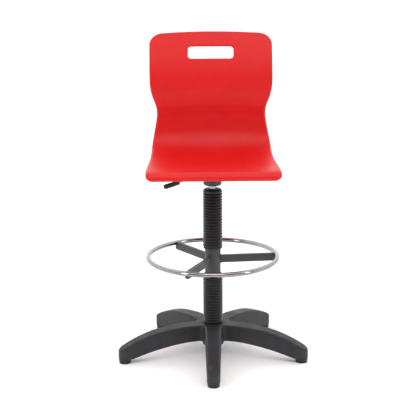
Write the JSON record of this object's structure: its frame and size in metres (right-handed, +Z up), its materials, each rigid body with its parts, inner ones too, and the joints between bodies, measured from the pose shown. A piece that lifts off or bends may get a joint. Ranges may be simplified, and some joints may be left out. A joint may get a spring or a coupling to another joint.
{
  "type": "drafting chair",
  "caption": "Height-adjustable drafting chair: one-piece moulded shell with a hand slot, lever-released gas lift, clamped foot ring between bellows, and a star base on glides.",
  "frame": {"origin": "on the floor, on the axis of the column", "axes": "+Z up along the column; the seat faces -Y; +X to the right as seen from the front"},
  "size_m": [0.6356, 0.6098, 1.0755],
  "materials": {
    "red_shell": "moulded, satin gloss",
    "black_nylon": "fine matt texture",
    "bellows_plastic": "satin",
    "glide_plastic": "satin",
    "chrome": "mirror",
    "dark_paint": "powder coat",
    "steel": "zinc plated",
    "aluminium": "machined",
    "brass": "machined",
    "rubber": "matt",
    "white_acetal": "moulded"
  },
  "bodies": {
    "base": {"star_base": "black_nylon", "hub_sleeve": "steel", "glide_1": "glide_plastic", "glide_2": "glide_plastic", "glide_3": "glide_plastic", "glide_4": "glide_plastic", "glide_5": "glide_plastic", "glide_stems": "steel", "stem_grip_rings": "steel", "column_tube": "dark_paint", "column_end_plate": "steel", "guide_bush": "white_acetal", "column_cap": "black_nylon", "thrust_washer_lower": "steel", "ball_cage": "steel", "thrust_balls": "steel", "lower_bellows": "bellows_plastic", "upper_bellows": "bellows_plastic"},
    "lift_rod": {"piston_rod": "steel", "rod_clip": "steel", "rod_washer": "steel", "thrust_washer_upper": "steel", "stop_buffer": "rubber", "piston": "aluminium", "piston_seal": "rubber", "piston_nut": "steel"},
    "seat": {"gas_cylinder": "chrome", "rod_guide": "white_acetal", "rod_seal": "rubber", "valve_block": "aluminium", "taper_socket": "dark_paint", "mounting_plate": "dark_paint", "socket_gussets": "dark_paint", "lever_bracket": "dark_paint", "lever_pivot_pin": "steel", "seat_bolts": "steel", "bolt_washers": "steel", "shell_inserts": "brass", "seat_shell": "red_shell"},
    "release_pin": {"release_pin": "steel"},
    "lever": {"lever_rod": "steel", "lever_grip": "black_nylon"},
    "bellows_collars": {"lower_collar": "black_nylon", "upper_collar": "black_nylon"},
    "foot_ring": {"ring_hub": "dark_paint", "foot_ring": "chrome", "spoke_1": "dark_paint", "spoke_2": "dark_paint", "spoke_3": "dark_paint", "spoke_welds": "dark_paint", "clamp_boss": "dark_paint", "clamp_pad": "brass"},
    "clamp_knob": {"clamp_stud": "steel", "clamp_knob": "black_nylon"}
  },
  "joints": [
    {"name": "seat_swivel", "type": "hinge", "parent": "base", "child": "lift_rod", "pos_m": [0, 0, 0.062], "axis": [0, 0, 1], "continuous": true},
    {"name": "seat_height", "type": "slide", "parent": "lift_rod", "child": "seat", "axis": [0, 0, 1], "range_m": [0, 0.26]},
    {"name": "lever_lift", "type": "hinge", "parent": "seat", "child": "lever", "pos_m": [-0.036, 0, 0.6463], "axis": [0, 1, 0], "range_deg": [0, 5], "stiffness_Nm_per_rad": 3, "springref_deg": -3.44},
    {"name": "release_press", "type": "slide", "parent": "seat", "child": "release_pin", "axis": [0, 0, -1], "range_m": [0, 0.0033]},
    {"name": "ring_height", "type": "slide", "parent": "base", "child": "bellows_collars", "axis": [0, 0, 1], "range_m": [-0.06, 0.09], "deforming": ["lower_bellows", "upper_bellows"]},
    {"name": "ring_turn", "type": "hinge", "parent": "bellows_collars", "child": "foot_ring", "pos_m": [0, 0, 0.3416], "axis": [0, 0, 1], "continuous": true},
    {"name": "knob_turn", "type": "hinge", "parent": "foot_ring", "child": "clamp_knob", "pos_m": [0.00087, 0.04999, 0.301], "axis": [0.0175, 0.9998, 0], "range_deg": [0, 360]}
  ],
  "couplings": [
    {"joint": "release_press", "follows": "lever_lift", "m_per_rad": 0.036}
  ]
}
